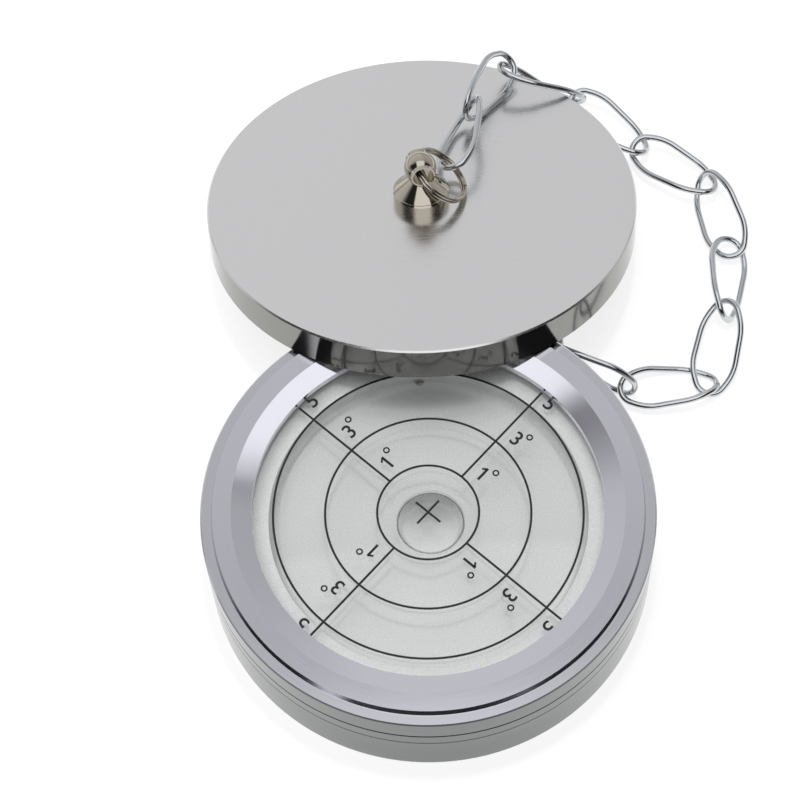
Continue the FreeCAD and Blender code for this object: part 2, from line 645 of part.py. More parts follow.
def build_base_screws():
    screws = []
    for number, (x, y) in enumerate(screw_places()):
        screws.append(build_socket_screw("base_screw_%d" % number, "$screw_length", "$screw_head",
                                         "$socket_depth", (x, y, "$head_sink")))
    group = doc.addObject("Part::Compound", "screw_group")
    group.Links = screws
    keep(group, "base_screws")


# The cap and what is fixed to it, each in the cap's own frame: origin at the middle of its top
# face, own +Z out of that face, own +Y along its rise away from the level

def build_cap():
    body = new_body("cap")
    turn_section(body, "cap", [
        (0, "cap_inner_top"), ("cap_bore", "cap_inner_top"), ("cap_bore", "cap_mouth"),
        ("cap_radius", "cap_mouth"), ("cap_radius", "cap_edge_height"),
        ("cap_edge_radius", 0), (0, 0),
    ])
    cylinder_tool(body, "cap_screw_way", "PartDesign::SubtractiveCylinder", "$screw_way",
                  "$cap_top", ("0", "0", "-$cap_top"), FreeCAD.Rotation())
    body.Placement = CAP_POSE


def build_cap_stud():
    body = new_body("cap_stud")
    turn_section(body, "stud", [
        (0, "stud_top"), ("stud_neck_radius", "stud_ball_foot"),
        ("stud_neck_radius", "stud_neck_height"), ("stud_cone_radius", "stud_flange"),
        ("stud_rim_radius", "stud_flange"), ("stud_flange_radius", "stud_flange_edge"),
        ("stud_flange_radius", 0), (0, 0),
    ], domes=(0,))
    across = radial(size("stud_turn"))
    along = FreeCAD.Rotation(FreeCAD.Vector(0, 0, 1), across)
    lip_place = ("-$stud_lip_reach * cos($stud_turn)", "-$stud_lip_reach * sin($stud_turn)",
                 "$stud_ball_height")
    cylinder_tool(body, "stud_lips", "PartDesign::AdditiveCylinder", "$stud_hole_radius + $stud_lip",
                  "2 * $stud_lip_reach", lip_place, along)
    hole_place = ("-2 * $stud_ball_radius * cos($stud_turn)", "-2 * $stud_ball_radius * sin($stud_turn)",
                  "$stud_ball_height")
    cylinder_tool(body, "stud_hole", "PartDesign::SubtractiveCylinder", "$stud_hole_radius",
                  "4 * $stud_ball_radius", hole_place, along)
    cylinder_tool(body, "stud_thread", "PartDesign::SubtractiveCylinder", "$stud_bore",
                  "$stud_thread_depth", ("0", "0", "0"), FreeCAD.Rotation())
    body.Placement = CAP_POSE


def build_stud_screw():
    screw = build_socket_screw("stud_fixing", "$stud_screw_length", "$stud_screw_head",
                               "$stud_socket_depth", ("0", "0", "$stud_screw_bottom"))
    screw.Placement = CAP_POSE
    keep(screw, "stud_screw")


def build_stud_washer():
    disc = new_cylinder("washer_disc", "$washer_radius", "$washer_thickness", z="$washer_bottom")
    hole = new_cylinder("washer_hole", "$screw_way", "$washer_thickness", z="$washer_bottom")
    washer = cut("washer_solid", disc, hole)
    washer.Placement = CAP_POSE
    keep(washer, "stud_washer")


def build_split_ring():
    """Two turns of wire pressed together, with a notch where each wire end lies."""
    turns = []
    for number, side in enumerate((-1, 1)):
        turn = doc.addObject("Part::Torus", "ring_turn_%d" % number)
        bind(turn, "Radius1", "$ring_radius")
        bind(turn, "Radius2", "$ring_wire_radius")
        bind(turn, "Placement.Base.z", "%d * $ring_turn_pitch / 2" % side)
        turns.append(turn)
    coil = fuse("ring_coil", turns)
    notches = []
    for number, side in enumerate((-1, 1)):
        notch = doc.addObject("Part::Box", "ring_notch_%d" % number)
        bind(notch, "Length", "4 * $ring_wire_radius")
        bind(notch, "Width", "$ring_notch")
        bind(notch, "Height", "$ring_wire_radius")
        bind(notch, "Placement.Base.x", "$ring_radius - 2 * $ring_wire_radius")
        bind(notch, "Placement.Base.y", "%d * $ring_notch - $ring_notch / 2" % side)
        bottom = "$ring_turn_pitch / 2" if side > 0 else "-$ring_turn_pitch / 2 - $ring_wire_radius"
        bind(notch, "Placement.Base.z", bottom)
        notches.append(notch)
    ring = cut("ring_with_notches", coil, fuse("ring_notches", notches))
    ring.Placement = CAP_POSE * ring_placement()
    keep(ring, "split_ring")


# Geometry of the cap's rest and of the chain

def radial(angle):
    """A level direction, from its angle in degrees."""
    return FreeCAD.Vector(math.cos(math.radians(angle)), math.sin(math.radians(angle)), 0)


def mouth_gap(tilt):
    """How far the cap's mouth clears the bezel when its back edge is on the ground."""
    reach = size("cap_reach") - size("cap_height") * math.sin(tilt)
    lowest = math.inf
    for step in range(RIM_STEPS):
        angle = 2 * math.pi * step / RIM_STEPS
        across = size("cap_bore") * math.cos(angle)
        toward = size("cap_bore") * math.sin(angle)
        plan = reach - toward * math.cos(tilt)
        if math.hypot(plan, across) > size("bezel_top_radius"):
            continue
        height = (size("cap_radius") + toward) * math.sin(tilt) + size("rest_gap")
        lowest = min(lowest, height - size("bezel_top") - size("rest_gap"))
    return lowest


def rest_cap():
    """Tilt of the cap, in radians: its mouth lies on the bezel and its back edge on the ground."""
    low, high = (math.radians(angle) for angle in TILT_RANGE)
    for turn in range(HALVINGS):
        middle = (low + high) / 2
        if mouth_gap(middle) > 0:
            high = middle
        else:
            low = middle
    return high


def cap_placement():
    tilt = rest_cap()
    outward = radial(size("cap_bearing"))
    across = FreeCAD.Vector(outward.y, -outward.x, 0)
    rise = outward * math.cos(tilt) - FreeCAD.Vector(0, 0, math.sin(tilt))
    normal = outward * math.sin(tilt) + FreeCAD.Vector(0, 0, math.cos(tilt))
    turn = FreeCAD.Rotation(across, rise, normal, "ZXY")
    height = size("cap_radius") * math.sin(tilt) + size("cap_height") * math.cos(tilt) + size("rest_gap")
    centre = outward * size("cap_reach") + FreeCAD.Vector(0, 0, height)
    return FreeCAD.Placement(centre, turn)


def ring_placement():
    """The split ring hangs through the stud's hole and leans on the cap."""
    top = size("stud_ball_height") + size("ring_hole_rise")
    lean = 0.0
    for turn in range(HALVINGS):
        low = size("ring_wire_radius") + size("ring_turn_pitch") / 2 * math.cos(lean) + size("rest_gap")
        lean = math.asin((top - low) / (2 * size("ring_radius")))
    middle = size("ring_radius") * math.cos(lean) + size("ring_hole_x")
    centre = FreeCAD.Vector(middle, size("ring_forward"), (top + low) / 2)
    turn = FreeCAD.Rotation(FreeCAD.Vector(0, 1, 0), math.degrees(lean))
    return FreeCAD.Placement(centre, turn)


def cap_surface(pose, x, y):
    """Height of the cap's top plane over a point of the plan."""
    normal = pose.Rotation.multVec(FreeCAD.Vector(0, 0, 1))
    centre = pose.Base
    return centre.z - (normal.x * (x - centre.x) + normal.y * (y - centre.y)) / normal.z


def eye_placement():
    bearing = size("eye_bearing")
    centre = radial(bearing) * size("eye_centre") + FreeCAD.Vector(0, 0, size("eye_height"))
    return FreeCAD.Placement(centre, FreeCAD.Rotation(FreeCAD.Vector(0, 0, 1), bearing))


def ring_hook():
    """Where the first link hangs in the split ring."""
    inset = radial(size("ring_clock")) * (size("ring_radius") - size("ring_hook_inset"))
    place = inset + FreeCAD.Vector(0, 0, size("ring_hook_side"))
    return (CAP_POSE * ring_placement()).multVec(place)


def eye_hook():
    """Where the last link hooks the eye, on the side that the chain pulls from."""
    inset = (size("link_wire") + size("link_gap")) / 2
    return eye_placement().multVec(FreeCAD.Vector(0, inset - size("eye_radius"), 0))


def route_places():
    """Plan points and pairs of heights of the places where the links meet."""
    first = ring_hook()
    plans = [FreeCAD.Vector(first.x, first.y, 0)]
    heights = [(first.z, first.z)]
    for number, (beside, angle, beyond, arrive, leave) in enumerate(CHAIN_ROUTE):
        on_cap = beside == "cap"
        centre = CAP_POSE.Base if on_cap else FreeCAD.Vector()
        reach = size("cap_radius" if on_cap else "housing_radius") + beyond
        plan = FreeCAD.Vector(centre.x, centre.y, 0) + radial(angle) * reach
        ground = cap_surface(CAP_POSE, plan.x, plan.y) if number < PLACES_ON_CAP else 0.0
        plans.append(plan)
        heights.append((arrive + ground, leave + ground))
    last = eye_hook()
    plans.append(FreeCAD.Vector(last.x, last.y, 0))
    heights.append((last.z, last.z))
    return plans, heights


def relax(plans, reaches):
    """Slide the places in plan until each link has its reach, with both ends held."""
    places = list(plans)
    first = plans[0]
    last = plans[-1]
    for sweep in range(CHAIN_SWEEPS):
        places[-1] = last
        for index in range(len(reaches) - 1, -1, -1):
            step = (places[index] - places[index + 1]).normalize()
            places[index] = places[index + 1] + step * reaches[index]
        places[0] = first
        for index, reach in enumerate(reaches):
            step = (places[index + 1] - places[index]).normalize()
            places[index + 1] = places[index] + step * reach
    return places


def link_placements():
    """Lay the links from the split ring to the eye."""
    plans, heights = route_places()
    pitch = size("link_length") - size("link_wire") - size("link_gap")
    reaches = []
    for index, (roll, slack) in enumerate(CHAIN_LINKS):
        rise = heights[index + 1][0] - heights[index][1]
        reaches.append(math.sqrt((pitch - slack) ** 2 - rise ** 2))
    places = relax(plans, reaches)
    up = FreeCAD.Vector(0, 0, 1)
    placements = []
    for index, (roll, slack) in enumerate(CHAIN_LINKS):
        start = places[index] + up * heights[index][1]
        finish = places[index + 1] + up * heights[index + 1][0]
        along = (finish - start).normalize()
        level = up.cross(along).normalize()
        raised = along.cross(level)
        side = level * math.cos(math.radians(roll)) + raised * math.sin(math.radians(roll))
        turn = FreeCAD.Rotation(along, side, along.cross(side), "XYZ")
        middle = (start + finish) * 0.5
        lowest = min(turn.multVec(corner).z for corner in link_corners()) + middle.z
        sunk = size("link_wire") / 2 + size("rest_gap") - lowest
        middle.z += max(0.0, sunk)
        placements.append(FreeCAD.Placement(middle, turn))
    return placements


def link_point(angle):
    """A corner of a link's path: a blunt oval drawn outside its size, twisted along its length."""
    cosine = math.cos(angle) / math.cos(math.pi / PATH_POINTS)
    sine = math.sin(angle) / math.cos(math.pi / PATH_POINTS)
    x = size("link_length") / 2 * math.copysign(abs(cosine) ** (2 / END_BLUNTNESS), cosine)
    y = size("link_width") / 2 * math.copysign(abs(sine) ** (2 / SIDE_BLUNTNESS), sine)
    twist = math.radians(size("link_twist")) * x / size("link_length")
    return FreeCAD.Vector(x, y * math.cos(twist), y * math.sin(twist))


def link_corners():
    return [link_point(2 * math.pi * (step + 0.5) / PATH_POINTS) for step in range(PATH_POINTS)]


def round_corner(before, corner, after):
    """Start, middle and end of the arc that rounds one corner of a path."""
    back = before - corner
    ahead = after - corner
    share = ARC_SHARE * min(back.Length, ahead.Length)
    back.normalize()
    ahead.normalize()
    half = (math.pi - back.getAngle(ahead)) / 2
    radius = share / math.tan(half)
    inward = (back + ahead).normalize()
    middle = corner + inward * (radius / math.cos(half) - radius)
    return corner + back * share, middle, corner + ahead * share


def link_solid():
    """One link: round wire along a closed path of arcs and short straights, in two halves."""
    points = link_corners()
    arcs = []
    for index, corner in enumerate(points):
        arcs.append(round_corner(points[index - 1], corner, points[(index + 1) % PATH_POINTS]))
    halves = []
    length = 0.0
    for first in (0, PATH_POINTS // 2):
        edges = []
        for index in range(first, first + PATH_POINTS // 2):
            start, middle, finish = arcs[index]
            following = arcs[(index + 1) % PATH_POINTS][0]
            edges.append(Part.Arc(start, middle, finish).toShape())
            edges.append(Part.LineSegment(finish, following).toShape())
        path = Part.Wire(edges)
        heading = points[first - 1] - points[first]
        section = Part.Circle(arcs[first][0], heading, size("link_wire") / 2)
        halves.append(path.makePipeShell([Part.Wire([section.toShape()])], True, True))
        length += path.Length
    solid = halves[0].fuse(halves[1]).Solids[0]
    wanted = math.pi * (size("link_wire") / 2) ** 2 * length
    if abs(solid.Volume - wanted) > wanted * VOLUME_ERROR:
        raise ValueError("link volume")
    return solid


def build_chain():
    shape = link_solid()
    for number, placement in enumerate(link_placements(), start=1):
        link = doc.addObject("Part::Feature", "link_%02d" % number)
        link.Shape = shape
        link.Placement = placement
        keep(link, "chain_link_%02d" % number)


def build_chain_anchor():
    """A screw eye in the housing's wall: threaded shank, collar, and a flat-lying eye."""
    body = new_body("chain_anchor")
    inward = FreeCAD.Rotation(FreeCAD.Vector(0, 0, 1), FreeCAD.Vector(-1, 0, 0))
    wall = "$housing_radius - $eye_centre"
    cylinder_tool(body, "anchor_thread", "PartDesign::AdditiveCylinder", "$eye_shank",
                  "$eye_thread", (wall, "0", "0"), inward)
    cylinder_tool(body, "anchor_collar", "PartDesign::AdditiveCylinder", "$eye_collar",
                  "$eye_collar_thickness", (wall + " + $eye_collar_thickness", "0", "0"), inward)
    cylinder_tool(body, "anchor_neck", "PartDesign::AdditiveCylinder", "$eye_wire_radius",
                  "$eye_centre - $housing_radius - $eye_radius", ("-$eye_radius", "0", "0"), inward)
    eye = body.newObject("PartDesign::AdditiveTorus", "anchor_eye")
    eye.AttachmentSupport = [(origin_plane(body, "XY_Plane"), "")]
    eye.MapMode = "FlatFace"
    bind(eye, "Radius1", "$eye_radius")
    bind(eye, "Radius2", "$eye_wire_radius")
    body.Placement = eye_placement()


CAP_POSE = cap_placement()

build_lower_housing()
build_upper_housing()
build_bezel_ring()
build_dial_glass()
build_glass_gasket()
build_vial_bowl()
build_bowl_seal()
build_spirit_fill()
build_bubble()
build_dial_print()
build_fill_plug()
build_fill_plug_seal()
build_base_screws()
build_cap()
build_cap_stud()
build_stud_screw()
build_stud_washer()
build_split_ring()
build_chain()
build_chain_anchor()

doc.recompute()
for item in doc.Objects:
    if "Invalid" in item.State or "Error" in item.State:
        raise ValueError("%s: %s" % (item.Name, item.State))
for item in parts:
    if item.Shape.isNull() or not item.Shape.isValid():
        raise ValueError(item.Label + ": bad shape")

os.makedirs("parts", exist_ok=True)
for item in parts:
    item.Shape.exportStep("parts/%s.step" % item.Label)
    print("%-16s %2d solid(s) %10.1f mm3" % (item.Label, len(item.Shape.Solids), item.Shape.Volume))
print("cap tilt %.2f degrees" % math.degrees(rest_cap()))
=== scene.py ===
# %% [markdown]
# # A bullseye level with a chained cap
# A bullseye level is a round spirit vial in a metal housing. This lesson dresses its CAD model
# for a picture: camera, light, metals, glass and spirit, and the printed degrees on the dial.
# The CAD pieces keep their shape. Only what a solid can't show well is modelled here.

# %% Load the frame
import math

import bmesh
import bpy
from mathutils import Matrix, Vector


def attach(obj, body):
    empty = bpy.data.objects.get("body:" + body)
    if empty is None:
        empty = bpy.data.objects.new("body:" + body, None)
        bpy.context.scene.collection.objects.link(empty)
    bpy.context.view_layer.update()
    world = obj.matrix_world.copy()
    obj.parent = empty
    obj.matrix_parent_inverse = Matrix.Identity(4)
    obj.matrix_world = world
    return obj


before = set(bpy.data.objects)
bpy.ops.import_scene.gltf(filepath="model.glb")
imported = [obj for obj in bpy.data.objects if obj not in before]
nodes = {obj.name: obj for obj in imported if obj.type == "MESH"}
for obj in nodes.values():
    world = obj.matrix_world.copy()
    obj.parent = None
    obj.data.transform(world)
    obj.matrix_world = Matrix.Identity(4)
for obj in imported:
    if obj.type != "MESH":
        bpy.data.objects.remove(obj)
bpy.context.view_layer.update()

MM = 0.001
print("pieces in the frame:", len(nodes))

# %% [markdown]
# ## Camera
# The picture was taken from the front, about 64 degrees above the table, with a long lens, so
# the round dial becomes a slightly flattened ellipse. The place and the lens were worked out
# from the ellipses of the dial's rings, and the camera is rolled by a few degrees.

# %% Place the camera
CAMERA_PLACE = Vector((-4.591, -234.806, 573.807)) * MM
CAMERA_RIGHT = Vector((0.99797, -0.05746, -0.02741))
CAMERA_AHEAD = Vector((0.0, 0.43054, -0.90257))
LENS = 122.503

lens = bpy.data.cameras.new("camera")
lens.lens = LENS
lens.sensor_width = 36.0
lens.clip_start = 0.01
camera = bpy.data.objects.new("camera", lens)
bpy.context.scene.collection.objects.link(camera)
back = -CAMERA_AHEAD.normalized()
right = (CAMERA_RIGHT - back * CAMERA_RIGHT.dot(back)).normalized()
turn = Matrix((right, back.cross(right), back)).transposed().to_4x4()
camera.matrix_world = Matrix.Translation(CAMERA_PLACE) @ turn
bpy.context.scene.camera = camera
print("camera height in mm:", round(CAMERA_PLACE.z / MM))

# %% [markdown]
# ## Colours and nodes
# Colours are written as they look on a screen, in sRGB, and turned linear once, because the
# renderer adds up light in linear values. One helper adds a shader node, sets it and links it.

# %% Helpers for colour and nodes
def linear(code):
    """A colour as the renderer needs it, from its hex code."""
    channels = []
    for start in (1, 3, 5):
        value = int(code[start:start + 2], 16) / 255
        channels.append(value / 12.92 if value <= 0.04045 else ((value + 0.055) / 1.055) ** 2.4)
    return (channels[0], channels[1], channels[2], 1.0)


def add(tree, kind, links=None, sockets=None, **settings):
    """Adds a node: its properties are settings, its input values sockets, its wires links."""
    made = tree.nodes.new(kind)
    for name, value in settings.items():
        setattr(made, name, value)
    for name, value in (sockets or {}).items():
        made.inputs[name].default_value = value
    for name, wire in (links or {}).items():
        tree.links.new(wire, made.inputs[name])
    return made


def new_material(name):
    """An empty material: its node tree and its output node."""
    material = bpy.data.materials.new(name)
    material.use_nodes = True
    material.node_tree.nodes.clear()
    return material, material.node_tree, add(material.node_tree, "ShaderNodeOutputMaterial")


def from_axis(tree, wire):
    """The parts of a place, and its distance from the upright axis."""
    parts = add(tree, "ShaderNodeSeparateXYZ", {0: wire})
    flat = add(tree, "ShaderNodeCombineXYZ", {0: parts.outputs["X"], 1: parts.outputs["Y"]})
    radius = add(tree, "ShaderNodeVectorMath", {0: flat.outputs[0]}, operation="LENGTH")
    return parts, radius.outputs["Value"]


# Noise hardly ever leaves this span, so it is the span that is mapped.
NOISE = {"From Min": 0.3, "From Max": 0.7}
print("mid grey is", round(linear("#808080")[0], 3), "in linear light")

# %% [markdown]
# ## Studio
# Polished metal shows the room more than its own colour. The room here is a bright soft box
# overhead, a pale wall behind, a dark side behind the camera and a window at the front left. It
# is painted on the sky for reflections only, and the camera itself sees plain white.

# %% Directions in the room
world = bpy.data.worlds.new("studio")
bpy.context.scene.world = world
world.use_nodes = True
sky = world.node_tree
sky.nodes.clear()
heading = add(sky, "ShaderNodeTexCoord")
parts = add(sky, "ShaderNodeSeparateXYZ", {0: heading.outputs["Generated"]})
rise = add(sky, "ShaderNodeMath", {0: parts.outputs["Z"]}, {1: 0.02}, operation="MAXIMUM")
side = add(sky, "ShaderNodeMath", {0: parts.outputs["X"], 1: rise.outputs[0]}, operation="DIVIDE")
fore = add(sky, "ShaderNodeMath", {0: parts.outputs["Y"], 1: rise.outputs[0]}, operation="DIVIDE")
print("the room is measured on a ceiling one unit up")

# %% [markdown]
# The soft box has four soft edges. Beyond its far edge the wall starts, brightest low down, and
# a little darker in its right corner. The pale table's light lies on everything near the
# horizon. All of it is measured as seen from the level, on a ceiling one unit above.

# %% Soft box, wall and window
# Each edge of the soft box: which way it is measured, where it starts and where it is full.
BOX_EDGES = [(side, -0.49, -0.41), (side, 0.62, 0.53), (fore, -0.85, -0.75), (fore, 0.36, 0.32)]
BOX_LIGHT = 1.2
WINDOW = Vector((-0.563, -0.545, 0.620)).normalized()
WINDOW_EDGE = 8
WINDOW_FULL = 6
WINDOW_LIGHT = 1.5

box = None
for way, start, full in BOX_EDGES:
    edge = add(sky, "ShaderNodeMapRange", {"Value": way.outputs[0]},
               {"From Min": start, "From Max": full}, interpolation_type="SMOOTHSTEP")
    if box is None:
        box = edge
    else:
        box = add(sky, "ShaderNodeMath", {0: box.outputs[0], 1: edge.outputs[0]},
                  operation="MULTIPLY")
shade = add(sky, "ShaderNodeMapRange", {"Value": fore.outputs[0]},
            {"From Min": 0.0, "From Max": 0.46, "To Min": 0.04, "To Max": 1.0})
tone = add(sky, "ShaderNodeMapRange", {"Value": fore.outputs[0]},
           {"From Min": 0.46, "From Max": 1.8, "To Min": 0.64, "To Max": 0.76})
corner = add(sky, "ShaderNodeMapRange", {"Value": side.outputs[0]},
             {"From Min": 0.30, "From Max": 0.65, "To Min": 1.0, "To Max": 0.78})
wall = add(sky, "ShaderNodeMath", {0: shade.outputs[0], 1: tone.outputs[0]},
           operation="MULTIPLY")
wall = add(sky, "ShaderNodeMath", {0: wall.outputs[0], 1: corner.outputs[0]},
           operation="MULTIPLY")
skirting = add(sky, "ShaderNodeMapRange", {"Value": parts.outputs["Z"]},
               {"From Min": 0.0, "From Max": 0.42, "To Min": 0.50, "To Max": 0.02})
wall = add(sky, "ShaderNodeMath", {0: wall.outputs[0], 1: skirting.outputs[0]},
           operation="MAXIMUM")
room = add(sky, "ShaderNodeMix", {0: box.outputs[0], 2: wall.outputs[0]}, {3: BOX_LIGHT})
toward = add(sky, "ShaderNodeVectorMath", {0: heading.outputs["Generated"]}, {1: WINDOW},
             operation="DOT_PRODUCT")
pane = add(sky, "ShaderNodeMapRange", {"Value": toward.outputs["Value"]},
           {"From Min": math.cos(math.radians(WINDOW_EDGE)),
            "From Max": math.cos(math.radians(WINDOW_FULL))})
glare = add(sky, "ShaderNodeMix", {0: pane.outputs[0], 2: room.outputs[0]}, {3: WINDOW_LIGHT})
print("edges of the soft box:", len(BOX_EDGES))

# %% [markdown]
# Each kind of ray sees its own sky. Matt surfaces get a plain dim one, mirrored and bent rays
# see the painted room, and the camera sees white.

# %% The sky
rays = add(sky, "ShaderNodeLightPath")
mirrored = add(sky, "ShaderNodeMath", {0: rays.outputs["Is Glossy Ray"],
                                       1: rays.outputs["Is Transmission Ray"]}, operation="MAXIMUM")
bare = add(sky, "ShaderNodeBackground", sockets={"Color": linear("#F4F5F7"), "Strength": 0.42})
painted = add(sky, "ShaderNodeBackground", {"Strength": glare.outputs[0]},
              {"Color": linear("#FCFCFF")})
white = add(sky, "ShaderNodeBackground", sockets={"Color": linear("#FFFFFF"), "Strength": 1.0})
lit = add(sky, "ShaderNodeMixShader", {0: mirrored.outputs[0], 1: bare.outputs[0],
                                       2: painted.outputs[0]})
seen = add(sky, "ShaderNodeMixShader", {0: rays.outputs["Is Camera Ray"], 1: lit.outputs[0],
                                        2: white.outputs[0]})
add(sky, "ShaderNodeOutputWorld", {"Surface": seen.outputs[0]})
print("the camera sees white, the metal sees the room")

# %% [markdown]
# ## Floor
# The table is white paper. It glows a little toward the camera, so that it stays white, and the
# rest of its brightness comes from the lamps, so the level's soft shadow still falls on it. In
# the metal the table gets darker with distance, as a real table ends.

# %% The floor
FLOOR_SIZE = 6.0
FLOOR_GLOW = 0.80
NEAR, FAR = 0.10, 0.45

floor_mesh = bpy.data.meshes.new("floor")
paper = bmesh.new()
bmesh.ops.create_grid(paper, x_segments=1, y_segments=1, size=FLOOR_SIZE / 2)
paper.to_mesh(floor_mesh)
paper.free()
floor = bpy.data.objects.new("floor", floor_mesh)
bpy.context.scene.collection.objects.link(floor)
# White matt paper.
floor_paper, tree, output = new_material("white_paper")
rays = add(tree, "ShaderNodeLightPath")
shown = add(tree, "ShaderNodeMath", {0: rays.outputs["Is Camera Ray"],
                                     1: rays.outputs["Is Glossy Ray"]}, operation="MAXIMUM")
shown = add(tree, "ShaderNodeMath", {0: shown.outputs[0], 1: rays.outputs["Is Transmission Ray"]},
            operation="MAXIMUM")
matt = add(tree, "ShaderNodeBsdfDiffuse", sockets={"Color": linear("#E8E8E8")})
thin = add(tree, "ShaderNodeBsdfDiffuse", sockets={"Color": linear("#888888")})
where = add(tree, "ShaderNodeTexCoord")
away = add(tree, "ShaderNodeVectorMath", {0: where.outputs["Object"]}, operation="LENGTH")
lost = add(tree, "ShaderNodeMapRange", {"Value": away.outputs["Value"]},
           {"From Min": NEAR, "From Max": FAR, "To Min": 0.0, "To Max": 0.8})
dimmed = add(tree, "ShaderNodeMath", {0: rays.outputs["Is Glossy Ray"], 1: lost.outputs[0]},
             operation="MULTIPLY")
strength = add(tree, "ShaderNodeMapRange", {"Value": dimmed.outputs[0]},
               {"To Min": FLOOR_GLOW, "To Max": 0.0})
glow = add(tree, "ShaderNodeEmission", {"Strength": strength.outputs[0]},
           {"Color": linear("#FFFFFF")})
pale = add(tree, "ShaderNodeAddShader", {0: thin.outputs[0], 1: glow.outputs[0]})
both = add(tree, "ShaderNodeMixShader", {0: shown.outputs[0], 1: matt.outputs[0],
                                         2: pale.outputs[0]})
tree.links.new(both.outputs[0], output.inputs["Surface"])
floor_mesh.materials.append(floor_paper)
print("floor in metres:", FLOOR_SIZE)

# %% [markdown]
# ## Lamps
# Metal here is lit by the painted room, so the lamps only light what is matt: the frosted vial,
# the print and the paper. A large soft lamp overhead does most of it. A small one beside it
# gives the faint shadow that the printed rings throw on the vial's floor.

# %% The lamps
LAMP_AIM = Vector((0, 0.03, 0))


def add_lamp(name, place, width, power):
    """A round soft lamp that looks at the level. Mirrors and glass don't show it."""
    lamp = bpy.data.lights.new(name, "AREA")
    lamp.shape = "DISK"
    lamp.size = width
    lamp.energy = power
    item = bpy.data.objects.new(name, lamp)
    item.location = place
    item.rotation_euler = (LAMP_AIM - place).to_track_quat("-Z", "Y").to_euler()
    item.visible_glossy = False
    item.visible_transmission = False
    item.visible_camera = False
    bpy.context.scene.collection.objects.link(item)
    print("lamp:", name)


add_lamp("soft_box", Vector((-0.10, 0.10, 0.90)), 0.80, 5.8)
add_lamp("small_lamp", Vector((0.02, 0.06, 0.80)), 0.055, 1.6)

# %% [markdown]
# ## Turned and brushed aluminium
# The housing and its bezel are turned from aluminium bar: the tool leaves rings round the axis
# that are far finer than a hair. The cap's top is brushed in straight lines across the picture.
# In each the lines change the roughness and tilt the surface a little.

# %% Turned aluminium
RING_SPACING = 0.16
# A surface that faces up by more than the first is a top, by less than the second a wall.
UPRIGHT = {"From Min": 0.5, "From Max": 0.2, "To Min": 0.0, "To Max": 1.0}


def turned_metal(name, code, wall_shade_code, roughness, depth):
    """Aluminium with fine rings round its axis. Its upright walls get their own tone, a painted
    shade where it is darker than the top.
    """
    material, tree, output = new_material(name)
    place = add(tree, "ShaderNodeTexCoord")
    parts, radius = from_axis(tree, place.outputs["Object"])
    both = add(tree, "ShaderNodeMath", {0: radius, 1: parts.outputs["Z"]}, operation="ADD")
    angle = add(tree, "ShaderNodeMath", {0: parts.outputs["Y"], 1: parts.outputs["X"]},
                operation="ARCTAN2")
    slow = add(tree, "ShaderNodeMath", {0: angle.outputs[0]}, {1: 0.0006}, operation="MULTIPLY")
    rings = add(tree, "ShaderNodeCombineXYZ", {0: both.outputs[0], 1: slow.outputs[0]})
    lines = add(tree, "ShaderNodeTexNoise", {"Vector": rings.outputs[0]},
                {"Scale": 1 / (RING_SPACING * MM), "Detail": 3.0, "Roughness": 0.6})
    normal = add(tree, "ShaderNodeNewGeometry")
    up = add(tree, "ShaderNodeSeparateXYZ", {0: normal.outputs["Normal"]})
    level = add(tree, "ShaderNodeMath", {0: up.outputs["Z"]}, operation="ABSOLUTE")
    wall = add(tree, "ShaderNodeMapRange", {"Value": level.outputs[0]}, UPRIGHT)
    # Upright walls take the second colour; where it is darker than the top, it is a painted shade.
    tone = add(tree, "ShaderNodeMix", {0: wall.outputs["Result"]},
               {6: linear(code), 7: linear(wall_shade_code)}, data_type="RGBA")
    contrast = add(tree, "ShaderNodeMapRange", {"Value": wall.outputs["Result"]},
                   {"To Min": 0.03, "To Max": 0.75})
    swing = add(tree, "ShaderNodeMath", {0: lines.outputs[0]}, {1: 0.5}, operation="SUBTRACT")
    streak = add(tree, "ShaderNodeMath", {0: swing.outputs[0], 1: contrast.outputs[0]}, {2: 1.0},
                 operation="MULTIPLY_ADD")
    colour = add(tree, "ShaderNodeMix", {6: tone.outputs[2], 7: streak.outputs[0]}, {0: 1.0},
                 data_type="RGBA", blend_type="MULTIPLY")
    rough = add(tree, "ShaderNodeMapRange", {"Value": lines.outputs[0]},
                {**NOISE, "To Min": roughness * 0.8, "To Max": roughness * 1.25})
    relief = add(tree, "ShaderNodeBump", {"Height": lines.outputs[0]},
                 {"Strength": 0.10, "Distance": depth * MM})
    metal = add(tree, "ShaderNodeBsdfPrincipled",
                {"Base Color": colour.outputs[2], "Roughness": rough.outputs["Result"],
                 "Normal": relief.outputs[0]}, {"Metallic": 1.0})
    tree.links.new(metal.outputs[0], output.inputs["Surface"])
    return material


# Anodised aluminium, turned: pale lilac-grey on top, with a darker olive-grey painted shade on the
# satin wall.
housing_metal = turned_metal("anodised_aluminium_turned", "#D4D5DA", "#636764", 0.12, 0.004)
# The same metal on the bezel, turned finer, so it mirrors the room more clearly.
bezel_metal = turned_metal("anodised_aluminium_fine_turned", "#DBDBE2", "#DBDBE2", 0.09, 0.003)
print("rings are", RING_SPACING, "mm apart")

# %% [markdown]
# The cap lies at a slant, so its top and its skirt are told apart by the cap's own axis.

# %% Brushed aluminium
LINE_SPACING = 0.22
LINE_STRETCH = 0.02
CAP_BEARING = math.radians(87.6)
CAP_TILT = math.radians(17.69)
CAP_UP = Vector((math.cos(CAP_BEARING) * math.sin(CAP_TILT),
                 math.sin(CAP_BEARING) * math.sin(CAP_TILT), math.cos(CAP_TILT)))


